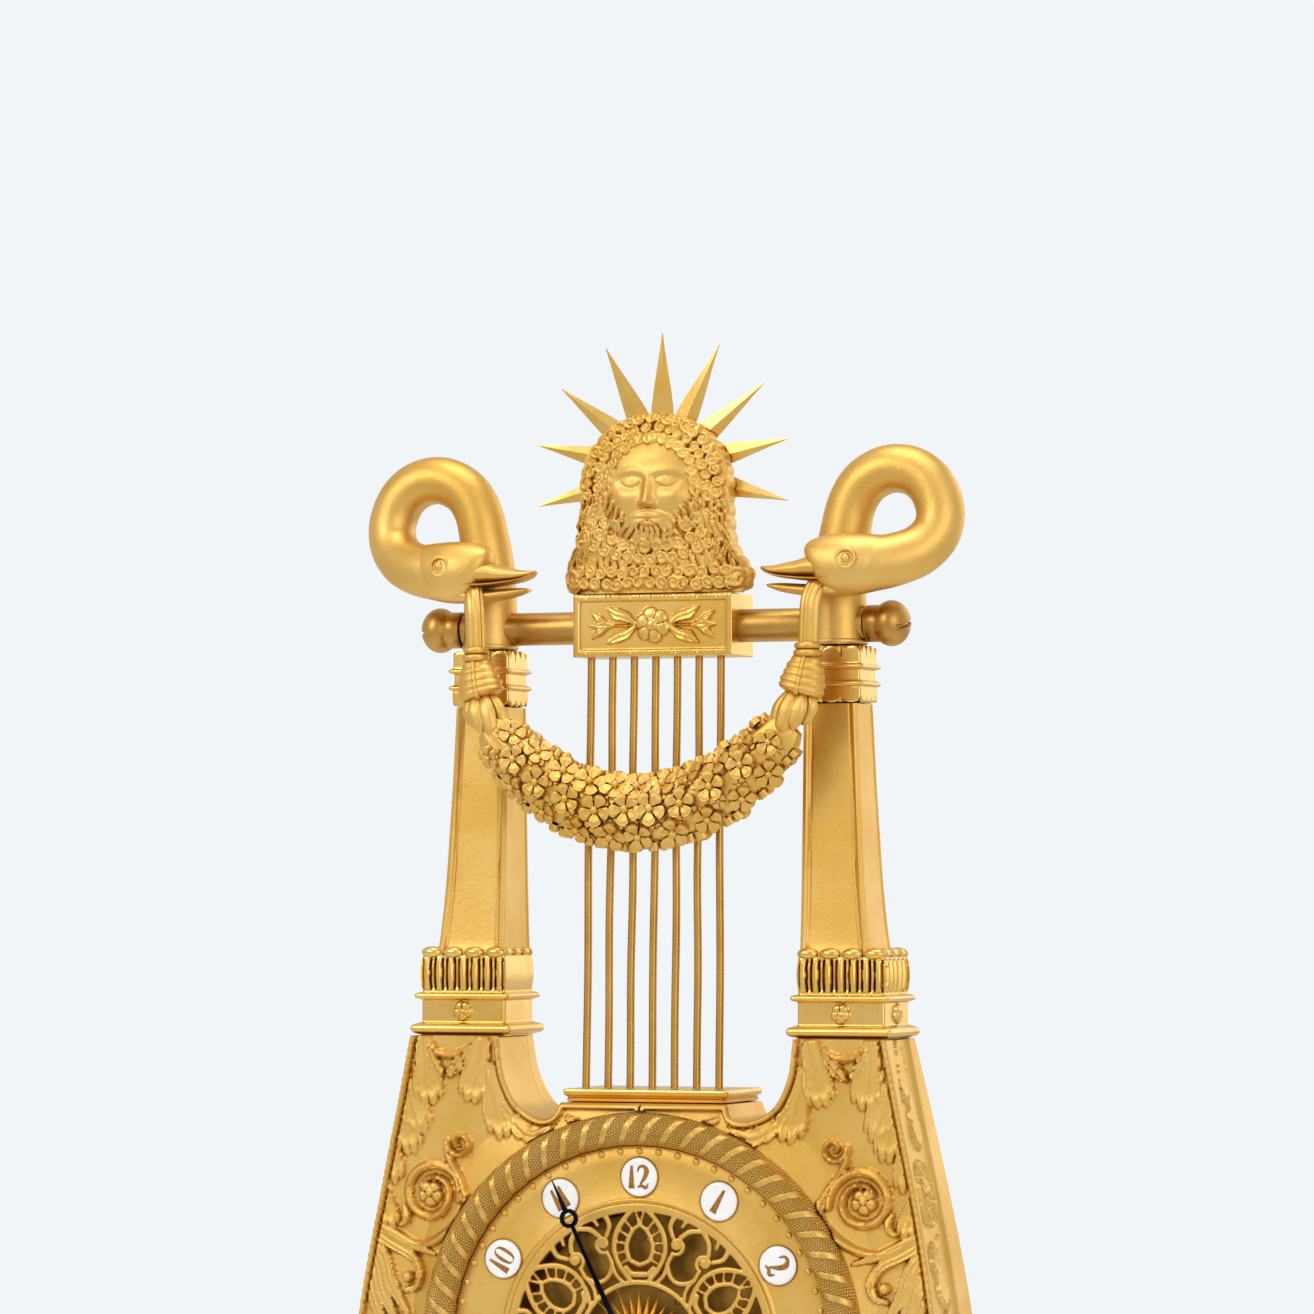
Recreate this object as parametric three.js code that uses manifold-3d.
// Lyre mantel clock in gilt bronze, with swan arms, a sun mask and a round spring movement.
// Millimetres. +Z up, +X to the right, the front faces -Y. The origin is under the middle of the base.

import * as THREE from "three";
import { mergeVertices } from "three/addons/utils/BufferGeometryUtils.js";
import Module from "manifold-3d";

const wasm = await Module();
wasm.setup();

// Clearances
const gap = 0.3; // between pieces that touch
const running = 0.3; // round a shaft or pivot in its hole
const overrun = 1; // how far a cutting tool passes the face that it cuts

// Base: four bun feet, a slab, a block
const foot = { radius: 13, height: 14, inset: 21, seatRadius: 9 };
const base = { halfWidth: 130, halfDepth: 55, height: 12, bevel: 3 };
const block = { halfWidth: 119, halfDepth: 46, height: 30, lip: 5, lipHeight: 5.5 };
const socle = { halfWidth: 66, halfDepth: 36, height: 29.1, toeHeight: 6 };
const socleWaist = { halfWidth: 42, halfDepth: 20 };
const socleTop = { halfWidth: 47, halfDepth: 25, height: 5 };

// Lyre body: heights from its underside. It is as high as the dial's boss, a wall over it and the notch need.
const body = { halfWidth: 118, halfDepth: 23.4, wall: 3.2 };
const dialRise = 128.7; // height of the dial's middle over the body's underside
const notch = { halfWidth: 59.5, depth: 31, ledgeShare: 0.8 };
const boss = { radius: 88.3, stand: 0.3, backRadius: 60 };
const bodyHeight = dialRise + boss.radius + body.wall + notch.depth * notch.ledgeShare;
const rearHoleRadius = 49.5;

// Dial, from its middle. Depths are measured to the front.
const bezel = { inner: 76, height: 6.4, seat: 1.4, steps: 5 };
const dial = { thickness: 1.2, lap: 4.7, pipeHoleRadius: 5 };
const pierced = { inner: 26, outer: 50, windows: 6, windowAngle: 0.66, windowSteps: 3 };
const cartouche = { ringRadius: 64, radius: 7.9, rise: 0.8, count: 12, sides: 12 };
const keyHole = { radius: 4.6, collar: 2.6 };
const dialFoot = { radius: 2, inset: 4, spokes: [0, 2, 3, 5] };

// Carving: ridges bedded a little into the face that carries them
const carving = { rise: 3, leafRise: 2.4, bed: 0.8, rosetteRadius: 4.6, petals: 5 };
const mounts = { rise: 1.6, rosetteRadius: 6.6, smallRadius: 4.6, petals: 8, scrollWidth: 2.2 };
const mountLeaf = { from: 52, endMargin: 22.2, halfWidth: 2.6, halfHeight: 6.3, count: 8 };
const mountLeafPitch = (block.halfWidth - mountLeaf.endMargin - mountLeaf.from) / (mountLeaf.count - 1);

// Arms: base with frieze and fluted band, shaft, collar. x is measured from the clock's middle.
const armBase = { inner: 55.6, outer: 97.6, halfDepth: 18.1, height: 34.6, overhang: 3.2, taper: 5.4 };
const egg = { radius: 3.4, height: 4, count: 4 };
const shaft = { inner: 60.2, outer: 87.6, halfDepth: 14, topOuter: 81.6, topHalfDepth: 9.5, height: 91 };
const collar = { inner: 59.6, outer: 83.2, halfDepth: 10.3, height: 21.6, bead: 1.7, beadHeight: 4 };

// Swans: the neck rises from the collar, loops outwards over the top, and the head comes forward
const swan = {
  neckX: 72, radius: 9.3, loopX: 94, loopRise: 49.4, holeHalfWidth: 9, holeHalfHeight: 8,
  forward: 15.8, headX: 82, headRadius: 10.2, headDrop: 22.4, beakX: 46, beakDrop: 22.6, beakRadius: 1.1,
  footRadius: 10, footHeight: 3,
};

// Cross bar with its knobs, plaque, ledge and strings
const bar = { radius: 6.3, rise: 8, threadRadius: 2.6 };
const knob = { stemRadius: 6.8, stemLength: 2.6, ballRadius: 8.8, ballLength: 14.6, steps: 6 };
const plaque = { halfWidth: 32.3, halfDepth: 12, height: 23.8, rim: 1.1, rimWidth: 2.6 };
const ledge = { halfWidth: 33.3, halfDepth: 19.6, height: 4.9, lip: 1.2, lipHeight: 2 };
const strings = { count: 7, radius: 1.5, pitch: 9, topPitch: 8.8, front: 11.4, topFront: 7.4 };

// Sun mask and its rays, from the plaque's top
const mask = { halfWidth: 32, hemHalfWidth: 41, height: 69, front: 20, back: 2.6, sunk: 6 };
const nose = { halfWidth: 4, height: 13, standing: 3.4, bedded: 1, rise: 33 };
const rays = { centreRise: 47.6, reach: 53, hub: 20, rootHalfWidth: 5.6, thickness: 2.4, count: 9 };
const raySpread = 0.4538;

// Garland and its hangers
const hanger = { fromBeak: 21.4, stand: 8.8, lean: 6.8, knotDrop: 1, knotRadius: 4.2, calyxRadius: 7.6 };
const strap = { width: 6, thickness: 3 };
const garland = { endDrop: 31, lowDrop: 63, midRadius: 15.4, endRadius: 8, depthShare: 0.66, stand: 1.4 };

// Hands
const minuteHand = {
  reach: 70, tail: 17, width: 2, hubRadius: 4, moonAt: 54, moonRadius: 3.7, moonHole: 2.1, front: 38.6,
  thickness: 1.1,
};
const hourHand = {
  reach: 47, tail: 13, width: 2.6, hubRadius: 5, moonAt: 35, moonRadius: 4.6, moonHole: 2.8, front: 35,
  thickness: 1.2,
};
const time = { hour: 6, minute: 55.7 };
const cap = { radius: 3.3, height: 2.6 };

// Movement: depths are positions along Y
const plate = { radius: 50, thickness: 2, front: -16.5, back: 6.3 };
const pillar = { radius: 2.6, inset: 4.2, angles: [0, 1.02, 2.12, 3.1416, 4.7124] };
const arbor = { radius: 1.3, pivotRadius: 0.8 };
const wheelThickness = 1.5;
const pinionLength = 3;

// Tooth counts and modules of the trains
const barrelTeeth = 39;
const greatModule = 1;
const greatPinion = 6;
const midTeeth = 36;
const pinWheelTeeth = 29;
const centreTeeth = 72;
const thirdPinion = 6;
const thirdTeeth = 60;
const escapePinion = 6;
const escapeTeeth = 40;
const motion = { cannon: 8, wheel: 24, pinion: 8, hour: 32, module: 0.75 };
const toothDepthShare = 0.8; // of the module
const pinionDepthShare = 1.1;
const escapeDepthShare = 3;

// Places of the arbors, right and up from the dial's middle
const barrelAt = { x: 23, z: -20 };
const thirdAt = { x: 12, z: 16.6 };
const escapeAt = { x: 0, z: 26.3 };
const palletAt = { x: 0, z: 40 };
const hammerAt = { x: 44, z: -16.5 };

// Where the wheels lie between the plates and behind the dial
const lay = { mid: 0.9, centre: 3.8, thirdBehind: 2.5, escape: -5, cannonBefore: 1.9, hourBefore: 4.2 };

const barrel = { radius: 17.4, height: 10.5, front: -13, hubRadius: 2.5 };
const winder = { radius: 2.2, squareHalf: 1.6, squareLength: 5.5 };
const escapeRadius = 9;
const pallets = { clear: 1.2, width: 2, halfSpan: 1.13, hubRadius: 2.2, steps: 10 };
const crutch = { halfWidth: 1.2, length: 20, behind: 0.9, thickness: 1.4, pinRadius: 0.6 };
const cock = { halfWidth: 5, height: 6.4, depth: 8.4 };
const pendulum = { length: 140, depth: 13.5, rodRadius: 1.1, bobRadius: 18, bobThickness: 7, tail: 4 };
const bell = { radius: 34.5, front: 25, depth: 15.6, wall: 2, holeRadius: 1.9 };
const bellPost = { x: -30, z: -30, radius: 2.4, armHeight: 2, armHalfWidth: 3, nutRadius: 3.6 };
const hammer = { armBehind: 2, armThickness: 2, armHalfWidth: 1.4 };
const hammerHead = { stand: 3.5, z: 8, radius: 3, length: 5.2 };
const hourPipe = { wall: 1.2 };

// Rear drum and door
const drum = { wall: 2.6, flange: 8.5, flangeThickness: 2, room: 1.1 };
const door = { lap: 1.3, thickness: 2.2, dome: 4.4, tabLength: 3 };
const hinge = { offset: 4.2, pinRadius: 1.1, knuckleRadius: 2.5, doorHalf: 4, reach: 10 };

// Sides of round pieces
const sides = { large: 36, medium: 18, small: 10, string: 8, pivot: 6 };
const weld = 1e-3;

// Finishes
const finish = {
  matte: new THREE.MeshStandardMaterial({ color: 0xd6a745, roughness: 0.5, metalness: 1 }),
  burnished: new THREE.MeshStandardMaterial({ color: 0xe9c469, roughness: 0.25, metalness: 1 }),
  dark: new THREE.MeshStandardMaterial({ color: 0xa87c35, roughness: 0.5, metalness: 1 }),
  steel: new THREE.MeshStandardMaterial({ color: 0x25282e, roughness: 0.3, metalness: 1 }),
  bright: new THREE.MeshStandardMaterial({ color: 0xb9bcc0, roughness: 0.3, metalness: 1 }),
  brass: new THREE.MeshStandardMaterial({ color: 0xb8934a, roughness: 0.35, metalness: 1 }),
};

// Helpers

// A closed geometry as a solid, facing out whichever way its profile runs
function solid(geometry) {
  const bare = geometry.clone();
  for (const name of Object.keys(bare.attributes)) {
    if (name !== "position") bare.deleteAttribute(name);
  }
  const merged = mergeVertices(bare, weld);
  const triVerts = [];
  for (let i = 0; i < merged.index.count; i += 3) {
    const [a, b, c] = [0, 1, 2].map((k) => merged.index.getX(i + k));
    if (a !== b && b !== c && c !== a) triVerts.push(a, b, c);
  }
  const make = (triangles) =>
    new wasm.Manifold(
      new wasm.Mesh({
        numProp: 3,
        vertProperties: merged.attributes.position.array,
        triVerts: new Uint32Array(triangles),
      }),
    );
  const first = make(triVerts);
  return first.volume() > 0 ? first : make(triVerts.reverse());
}

// A solid as a named mesh
function piece(name, shape, material) {
  const { vertProperties, triVerts } = shape.getMesh();
  const geometry = new THREE.BufferGeometry();
  geometry.setAttribute("position", new THREE.BufferAttribute(vertProperties, 3));
  geometry.setIndex(new THREE.BufferAttribute(triVerts, 1));
  const flat = geometry.toNonIndexed();
  flat.computeVertexNormals();
  const mesh = new THREE.Mesh(flat, material.clone());
  mesh.name = name;
  return mesh;
}

// Every vertex of a geometry moved by a formula
function shaped(geometry, place) {
  const at = geometry.attributes.position;
  const point = new THREE.Vector3();
  for (let i = 0; i < at.count; i++) {
    point.fromBufferAttribute(at, i);
    place(point);
    at.setXYZ(i, point.x, point.y, point.z);
  }
  return geometry;
}

// The same geometry on the left side of the clock
const mirrored = (geometry) => shaped(geometry.clone(), (point) => point.setX(-point.x));

// A geometry for one side: right as it is, left mirrored
const sided = (geometry, side) => (side > 0 ? geometry : mirrored(geometry));

// A box between two corners
function block3(low, high) {
  const size = high.map((value, k) => value - low[k]);
  const middle = high.map((value, k) => (value + low[k]) / 2);
  return new THREE.BoxGeometry(...size).translate(...middle);
}

// A profile of [radius, height] pairs turned about the Z axis, or about the Y axis with depth for height
const turned = (profile, count) =>
  new THREE.LatheGeometry(profile.map(([r, h]) => new THREE.Vector2(r, h)), count);
const turnedZ = (profile, count) => turned(profile, count).rotateX(Math.PI / 2);
const turnedX = (profile, count) => turned(profile, count).rotateZ(-Math.PI / 2);

// A rod along Y between two depths
function rodY(radius, from, to, count, x = 0, z = 0) {
  return new THREE.CylinderGeometry(radius, radius, to - from, count).translate(x, (from + to) / 2, z);
}

// A flat shape drawn in x and z, given its depth along Y
function slab(shape, from, to) {
  const flat = new THREE.ExtrudeGeometry(shape, { depth: to - from, bevelEnabled: false, curveSegments: 6 });
  return flat.rotateX(Math.PI / 2).translate(0, to, 0);
}

const outline = (points) => new THREE.Shape(points.map(([x, z]) => new THREE.Vector2(x, z)));

// A box-sectioned column: levels of [height, inner x, outer x, half depth]
function column(levels) {
  const steps = levels.length - 1;
  return shaped(new THREE.BoxGeometry(1, 1, 1, 1, 1, steps), (point) => {
    const [z, inner, outer, halfDepth] = levels[Math.round((point.z + 0.5) * steps)];
    point.set(point.x > 0 ? outer : inner, Math.sign(point.y) * halfDepth, z);
  });
}

// A tube of varying size along a curve: knots of [x, y, z, radius], flattened in depth by a share
function sweep(knots, around, along, depthShare = 1) {
  const path = new THREE.CatmullRomCurve3(knots.map(([x, y, z]) => new THREE.Vector3(x, y, z)));
  const size = new THREE.CatmullRomCurve3(knots.map((knot) => new THREE.Vector3(knot[3], 0, 0)));
  const forward = new THREE.Vector3(0, -1, 0);
  return shaped(new THREE.CylinderGeometry(1, 1, 1, around, along), (point) => {
    const t = THREE.MathUtils.clamp(point.y + 0.5, 0, 1);
    const radius = size.getPoint(t).x;
    const tangent = path.getTangent(t);
    const across = new THREE.Vector3().crossVectors(tangent, forward).normalize();
    const depth = new THREE.Vector3().crossVectors(across, tangent);
    const { x, z } = point;
    point.copy(path.getPoint(t));
    point.addScaledVector(across, x * radius);
    point.addScaledVector(depth, z * radius * depthShare);
  });
}

// A three-sided ridge over a flat face at y = 0: knots of [x, z, half width], and a crest towards the front.
// lean moves each corner forward along the line by a share of its half width.
function ridge(knots, rise, bed, lean = 0) {
  const steps = knots.length - 1;
  const corner = Math.sin(Math.PI / 3);
  return shaped(new THREE.CylinderGeometry(1, 1, 1, 3, steps), (point) => {
    const i = Math.round((point.y + 0.5) * steps);
    const [x, z, halfWidth] = knots[i];
    const before = knots[Math.max(i - 1, 0)];
    const after = knots[Math.min(i + 1, steps)];
    const length = Math.hypot(after[0] - before[0], after[1] - before[1]);
    const [alongX, alongZ] = [(after[0] - before[0]) / length, (after[1] - before[1]) / length];
    const out = (point.x / corner) * halfWidth;
    const on = Math.abs(out) * lean;
    const high = THREE.MathUtils.mapLinear(point.z, -0.5, 1, -bed, rise);
    point.set(x + alongZ * out + alongX * on, -high, z - alongX * out + alongZ * on);
  });
}

// Points [x, z, half width] at even steps along a smooth line through the given ones
function along(line, steps) {
  const path = new THREE.CatmullRomCurve3(line.map(([x, z, w]) => new THREE.Vector3(x, w, z)));
  return path.getPoints(steps).map(({ x, y, z }) => [x, z, y]);
}

// A leaf along a line: it swells and ends narrow, and every second knot is a notch between two teeth
const leafShares = { notch: 0.5, end: 0.14, lean: 0.45 };

function leaf(line, halfWidth, teeth, rise, bed) {
  const steps = 2 * teeth;
  const knots = along(line.map(([x, z]) => [x, z, 0]), steps).map(([x, z], i) => {
    const swell = Math.sqrt(Math.sin(Math.PI * (0.25 + (0.75 * i) / steps)));
    const tooth = i % 2 ? 1 : leafShares.notch;
    return [x, z, halfWidth * Math.max(swell * tooth, leafShares.end)];
  });
  return ridge(knots, rise, bed, leafShares.lean);
}

// A low rosette over a flat face at y = 0: petals round a raised middle
function rosette(x, z, radius, petals, rise, bed) {
  const domeShares = [[0.62, 0.7], [0, 1]];
  const profile = [[0, -bed], [radius, -bed], ...domeShares.map(([r, h]) => [radius * r, rise * h])];
  return shaped(turned(profile, 2 * petals), (point) => {
    const angle = Math.atan2(point.x, point.z);
    const notched = Math.hypot(point.x, point.z) > radius / 2 && Math.cos(angle * petals) < 0;
    const share = notched ? 0.72 : 1;
    point.set(x + point.x * share, -point.y, z + point.z * share);
  });
}

// A toothed wheel drawn round the origin: tips just inside the pitch circle, so that meshing wheels clear
function toothed(teeth, module, depthShare = toothDepthShare) {
  const tip = (teeth * module - gap) / 2;
  const root = tip - depthShare * module;
  const points = [];
  for (let i = 0; i < 2 * teeth; i++) {
    const angle = (i * Math.PI) / teeth;
    const radius = i % 2 ? root : tip;
    points.push([radius * Math.sin(angle), radius * Math.cos(angle)]);
  }
  return outline(points);
}

const pitchRadius = (teeth, module) => (teeth * module) / 2;
const moduleBetween = (teeth, from, to) => (2 * Math.hypot(to.x - from.x, to.z - from.z)) / teeth;

// Modules worked out from the places of the arbors
const centreModule = moduleBetween(centreTeeth + thirdPinion, { x: 0, z: 0 }, thirdAt);
const thirdModule = moduleBetween(thirdTeeth + escapePinion, thirdAt, escapeAt);
const hourModule = (motion.module * (motion.cannon + motion.wheel)) / (motion.pinion + motion.hour);
const escapeModule = (2 * escapeRadius + gap) / escapeTeeth;

// Heights, worked out upwards from the floor
const baseZ = foot.height + gap;
const blockZ = baseZ + base.height + gap;
const socleZ = blockZ + block.height + gap;
const bodyZ = socleZ + socle.height + gap;
const dialZ = bodyZ + dialRise;
const hornZ = bodyZ + bodyHeight;
const armBaseZ = hornZ + gap;
const shaftZ = armBaseZ + armBase.height + gap;
const collarZ = shaftZ + shaft.height + gap;
const neckZ = collarZ + collar.height + gap;
const barZ = neckZ + bar.rise;
const plaqueZ = barZ - plaque.height / 2 + gap;
const maskZ = plaqueZ + plaque.height + gap;
const ledgeZ = hornZ - notch.depth * notch.ledgeShare + gap;

// Depths and radii that follow from their neighbours
const bossFront = body.halfDepth + boss.stand;
const dialFront = bossFront + gap + dial.thickness;
const dialRadius = bezel.inner - gap;
const dialOpenRadius = dialRadius - dial.lap;
const barEnd = swan.neckX + swan.footRadius + gap;
const knobTip = barEnd + gap + knob.stemLength + knob.ballLength;
const hangerX = swan.beakX + hanger.fromBeak;
const hangerFront = swan.forward + hanger.stand;
const garlandEndX = hangerX - hanger.lean;
const garlandFront = hangerFront + garland.stand;
const drumRadius = rearHoleRadius + drum.wall;
const drumBack = bell.front + bell.depth + gap + bellPost.armHeight + drum.room;
const doorRadius = drumRadius + door.lap;
const doorFront = drumBack + gap;
const hingeX = doorRadius + hinge.offset;
const hingeDepth = doorFront + door.thickness / 2;

const clock = new THREE.Group();
clock.name = "lyre_clock";

// Mounts in low relief on the block: rosettes, leafy scrolls and upright leaves in front and behind, and a
// rosette on each end
function makeMounts() {
  const middle = blockZ + block.height / 2;
  const { rise, rosetteRadius, smallRadius, petals, scrollWidth } = mounts;
  const { bed } = carving;
  const scrollFrom = rosetteRadius + gap;
  const scrollReach = mountLeaf.from - mountLeafPitch - smallRadius - scrollFrom;
  const scrollShares = [[0, 0], [0.25, 0.35], [0.5, 0.12], [0.75, -0.3], [1, 0]];
  const scrollLine = scrollShares.map(([t, up]) => [scrollFrom + scrollReach * t, middle + rosetteRadius * up]);
  const centre = rosette(0, middle, rosetteRadius, petals, rise, bed);
  const scroll = leaf(scrollLine, scrollWidth, 3, rise, bed);
  const long = [centre, scroll, mirrored(scroll)];
  for (const side of [-1, 1]) {
    const smallX = scrollFrom + scrollReach + smallRadius / 2;
    long.push(sided(rosette(smallX, middle, smallRadius, carving.petals, rise, bed), side));
    for (let i = 0; i < mountLeaf.count; i++) {
      const blade = new THREE.SphereGeometry(1, 4, 2);
      blade.scale(mountLeaf.halfWidth, rise, mountLeaf.halfHeight);
      long.push(blade.translate(side * (mountLeaf.from + mountLeafPitch * i), 0, middle));
    }
  }
  const depth = block.halfDepth - block.lip;
  const width = block.halfWidth - block.lip;
  const front = long.map((geometry) => geometry.clone().translate(0, -depth, 0));
  const back = front.map((geometry) => geometry.clone().rotateZ(Math.PI));
  const right = centre.clone().translate(0, -width, 0).rotateZ(Math.PI / 2);
  const left = right.clone().rotateZ(Math.PI);
  return [...front, ...back, right, left].map(solid);
}

// Feet, base and block
function makeBase() {
  const group = new THREE.Group();
  const bun = solid(
    turnedZ(
      [
        [0, 0],
        [foot.seatRadius, 0],
        [foot.radius, foot.height * 0.4],
        [foot.radius * 0.94, foot.height * 0.68],
        [foot.seatRadius, foot.height * 0.86],
        [foot.seatRadius, foot.height],
        [0, foot.height],
      ],
      sides.medium,
    ),
  );
  for (const sx of [-1, 1]) {
    for (const sy of [-1, 1]) {
      const name = (sy < 0 ? "front_" : "rear_") + (sx < 0 ? "left" : "right");
      const mesh = piece("foot_" + name, bun, finish.burnished);
      mesh.position.set(sx * (base.halfWidth - foot.inset), sy * (base.halfDepth - foot.inset), 0);
      group.add(mesh);
    }
  }
  const slabLevels = [
    [0, base.halfWidth - base.bevel, base.halfDepth - base.bevel],
    [base.bevel, base.halfWidth, base.halfDepth],
    [base.height - base.bevel, base.halfWidth, base.halfDepth],
    [base.height, base.halfWidth - base.bevel, base.halfDepth - base.bevel],
  ];
  const blockLevels = [
    [0, block.halfWidth, block.halfDepth],
    [block.lipHeight, block.halfWidth - block.lip, block.halfDepth - block.lip],
    [block.height - block.lipHeight, block.halfWidth - block.lip, block.halfDepth - block.lip],
    [block.height, block.halfWidth, block.halfDepth],
  ];
  const stepped = (levels, z) => column(levels.map(([h, w, d]) => [z + h, -w, w, d]));
  group.add(piece("plinth_base", solid(stepped(slabLevels, baseZ)), finish.burnished));
  const blockBody = wasm.Manifold.union([solid(stepped(blockLevels, blockZ)), ...makeMounts()]);
  group.add(piece("plinth_block", blockBody, finish.matte));
  const socleLevels = [
    [0, socle.halfWidth, socle.halfDepth],
    [socle.toeHeight, socle.halfWidth, socle.halfDepth],
    [socle.toeHeight * 1.4, socle.halfWidth * 0.86, socle.halfDepth * 0.82],
    [socle.height * 0.55, socleWaist.halfWidth, socleWaist.halfDepth],
    [socle.height - socleTop.height, socleWaist.halfWidth, socleWaist.halfDepth],
    [socle.height - socleTop.height, socleTop.halfWidth, socleTop.halfDepth],
    [socle.height, socleTop.halfWidth, socleTop.halfDepth],
  ];
  group.add(piece("lyre_socle", solid(stepped(socleLevels, socleZ)), finish.burnished));
  return group;
}

// Lyre body: outline and depth as shares of its width, height and depth, from the underside up
const widthShares = [
  [0, 0.37], [0.023, 0.47], [0.056, 0.573], [0.105, 0.694], [0.162, 0.797], [0.24, 0.89], [0.342, 0.962],
  [0.465, 1], [0.563, 0.987], [0.669, 0.953], [0.7426, 0.924], [0.82, 0.8915], [0.898, 0.8576], [1, 0.816],
];
const depthShares = [
  [0, 0.8], [0.12, 0.9], [0.3, 0.985], [0.46, 1], [0.563, 0.985], [0.7426, 0.88], [0.82, 0.83],
  [0.898, 0.77], [1, 0.62],
];
const notchShares = [
  [1, 0], [0.971, 0.43], [0.9, 0.755], [0.815, 0.917], [0.697, 1], [0.605, 0.96], [0.565, 0.8],
];

// The value of a table of shares at a share of the height
function shareAt(table, t) {
  const next = table.findIndex(([at], i) => i > 0 && at >= t);
  const [[t0, v0], [t1, v1]] = next < 0 ? table.slice(-2) : [table[next - 1], table[next]];
  return v0 + ((v1 - v0) * (t - t0)) / (t1 - t0);
}

// Half the body's depth at a height
function bodyDepthAt(z) {
  const t = THREE.MathUtils.clamp((z - bodyZ) / bodyHeight, 0, 1);
  return body.halfDepth * shareAt(depthShares, t);
}

// A flat outline given the body's belly: as deep as the body at each height, less an inset
function bellied(points, inset) {
  const reach = body.halfWidth + overrun;
  const levels = depthShares.map(([t, depth]) => [
    bodyZ + bodyHeight * t, -reach, reach, body.halfDepth * depth - inset,
  ]);
  const flat = slab(outline(points), -body.halfDepth - overrun, body.halfDepth + overrun);
  return solid(column(levels)).intersect(solid(flat));
}

// Carving of one side of the body, from its horns down to its foot. Lines run in shares of its half width and
// its height, and all widths and radii are shares of its half width.
const leafTableShares = [
  { line: [[0.589, 0.987], [0.578, 0.942], [0.586, 0.9]], width: 0.059, teeth: 3 },
  { line: [[0.746, 0.987], [0.741, 0.942], [0.729, 0.893]], width: 0.059, teeth: 3 },
  { line: [[0.825, 0.929], [0.808, 0.876], [0.797, 0.823]], width: 0.056, teeth: 3 },
  { line: [[0.475, 0.946], [0.488, 0.901], [0.478, 0.852]], width: 0.051, teeth: 2 },
  { line: [[0.869, 0.289], [0.831, 0.252], [0.763, 0.211], [0.678, 0.178]], width: 0.053, teeth: 3 },
  { line: [[0.746, 0.211], [0.669, 0.164], [0.568, 0.121], [0.466, 0.093]], width: 0.049, teeth: 3 },
  { line: [[0.559, 0.117], [0.492, 0.084], [0.407, 0.054], [0.322, 0.036]], width: 0.044, teeth: 2 },
  { line: [[0.932, 0.695], [0.847, 0.675], [0.771, 0.665], [0.712, 0.662]], width: 0.029, teeth: 2 },
  { line: [[0.924, 0.677], [0.856, 0.648], [0.809, 0.625], [0.78, 0.603]], width: 0.03, teeth: 2 },
  { line: [[0.949, 0.668], [0.929, 0.619], [0.89, 0.574], [0.851, 0.538]], width: 0.032, teeth: 2 },
  { line: [[0.932, 0.356], [0.847, 0.376], [0.771, 0.386], [0.712, 0.389]], width: 0.029, teeth: 2 },
  { line: [[0.924, 0.373], [0.856, 0.403], [0.809, 0.426], [0.78, 0.448]], width: 0.03, teeth: 2 },
  { line: [[0.949, 0.382], [0.929, 0.431], [0.89, 0.476], [0.851, 0.513]], width: 0.032, teeth: 2 },
];
const cordTableShares = [
  {
    steps: 7,
    line: [
      [0.681, 0.827, 0.013], [0.666, 0.8, 0.014], [0.619, 0.771, 0.014], [0.603, 0.742, 0.014],
      [0.647, 0.709, 0.014], [0.733, 0.684, 0.014], [0.822, 0.68, 0.011],
    ],
  },
  {
    steps: 4,
    line: [
      [0.924, 0.778, 0.012], [0.912, 0.736, 0.021], [0.878, 0.71, 0.02], [0.827, 0.712, 0.021],
    ],
  },
  {
    steps: 5,
    line: [
      [0.622, 0.315, 0.013], [0.576, 0.268, 0.017], [0.475, 0.218, 0.017], [0.356, 0.162, 0.015],
      [0.288, 0.121, 0.014],
    ],
  },
  { steps: 2, line: [[0, 0.068, 0.016], [0, 0.101, 0.028], [0, 0.138, 0.008]] },
  { steps: 2, line: [[0.042, 0.064, 0.014], [0.076, 0.097, 0.025], [0.102, 0.132, 0.008]] },
  { steps: 2, line: [[0.076, 0.046, 0.012], [0.144, 0.064, 0.023], [0.186, 0.089, 0.008]] },
];
const spiralTableShares = [
  { centre: [0.635, 0.836], outer: 0.046, inner: 0.027, width: 0.012, start: 0.00, turn: 4.71, steps: 6 },
  { centre: [0.731, 0.753], outer: 0.102, inner: 0.064, width: 0.016, start: 3.32, turn: -6.28, steps: 12 },
  { centre: [0.716, 0.309], outer: 0.095, inner: 0.061, width: 0.016, start: 2.97, turn: 6.28, steps: 12 },
  { centre: [0.234, 0.106], outer: 0.059, inner: 0.032, width: 0.014, start: 0.44, turn: -5.24, steps: 7 },
];

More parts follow.
